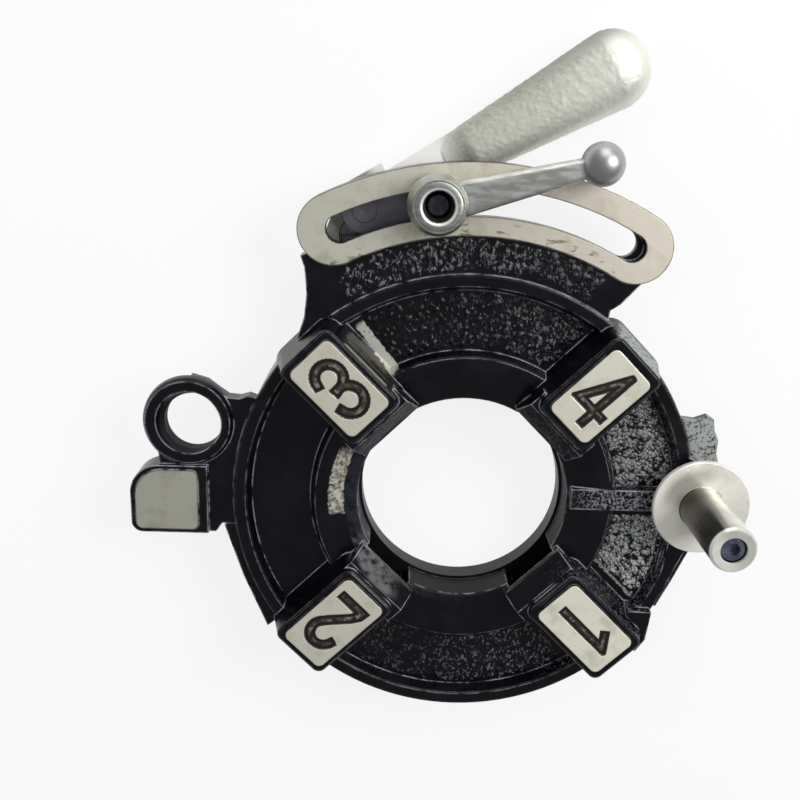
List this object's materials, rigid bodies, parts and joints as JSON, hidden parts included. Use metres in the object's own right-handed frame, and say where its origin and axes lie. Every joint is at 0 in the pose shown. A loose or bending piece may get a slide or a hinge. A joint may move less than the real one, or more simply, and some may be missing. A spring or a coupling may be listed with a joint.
{
  "type": "pipe threading die head",
  "caption": "Quick-opening pipe threading die head with numbered die pads, slotted size quadrant, clamp lever and throw-out lever.",
  "frame": {"origin": "on the pipe bore's axis at the rear face of the body", "axes": "+Z along the bore axis towards the numbered face, +X from the bore towards the mounting post, +Y towards the slotted quadrant"},
  "size_m": [0.2701, 0.3003, 0.082],
  "materials": {
    "head_casting": "gloss black enamel over sand-cast iron, number pads and quadrant face machined bright",
    "mounting_post": "ground",
    "post_screw": "oiled black",
    "cam_plate": "machined, oiled",
    "cam_clips": "sheared strip",
    "clip_screws": "zinc plated",
    "throwout_lever": "bare sand casting, plated light grey",
    "lever_pivot_screw": "turned",
    "link": "milled",
    "link_pin": "ground",
    "clamp_stud": "turned",
    "clamp_washer": "plain",
    "clamp_lever": "satin forging with polished ball"
  },
  "bodies": {
    "body": {"head_casting": "head_casting", "mounting_post": "mounting_post", "post_screw": "post_screw", "cam_clips": "cam_clips", "clip_screws": "clip_screws"},
    "stud_carriage": {"clamp_stud": "clamp_stud", "clamp_washer": "clamp_washer"},
    "clamp_lever": {"clamp_lever": "clamp_lever"},
    "cam_plate": {"cam_plate": "cam_plate", "lever_pivot_screw": "lever_pivot_screw"},
    "throwout_lever": {"throwout_lever": "throwout_lever", "link_pin": "link_pin"},
    "link": {"link": "link"}
  },
  "joints": [
    {"name": "size_setting", "type": "hinge", "parent": "body", "child": "stud_carriage", "pos_m": [0, 0, 0.027], "axis": [0, 0, 1], "range_deg": [-34.7, 17.8]},
    {"name": "clamp_turn", "type": "hinge", "parent": "stud_carriage", "child": "clamp_lever", "pos_m": [-0.01599, 0.12952, 0.04], "axis": [0, 0, 1], "range_deg": [0, 90]},
    {"name": "throwout_swing", "type": "hinge", "parent": "cam_plate", "child": "throwout_lever", "pos_m": [-0.04896, 0.11321, 0.01], "axis": [0, 0, 1], "range_deg": [0, 55]},
    {"name": "cam_plate_turn", "type": "hinge", "parent": "stud_carriage", "child": "cam_plate", "pos_m": [0, 0, 0.0066], "axis": [0, 0, 1], "range_deg": [-5.2, 0.2]},
    {"name": "link_swing", "type": "hinge", "parent": "stud_carriage", "child": "link", "pos_m": [-0.01599, 0.12952, 0.0162], "axis": [0, 0, 1], "range_deg": [-5.8, 0.4]}
  ],
  "couplings": [
    {"joint": "cam_plate_turn", "follows": "throwout_swing", "ratio": -0.0885},
    {"joint": "link_swing", "follows": "throwout_swing", "ratio": -0.0975}
  ]
}
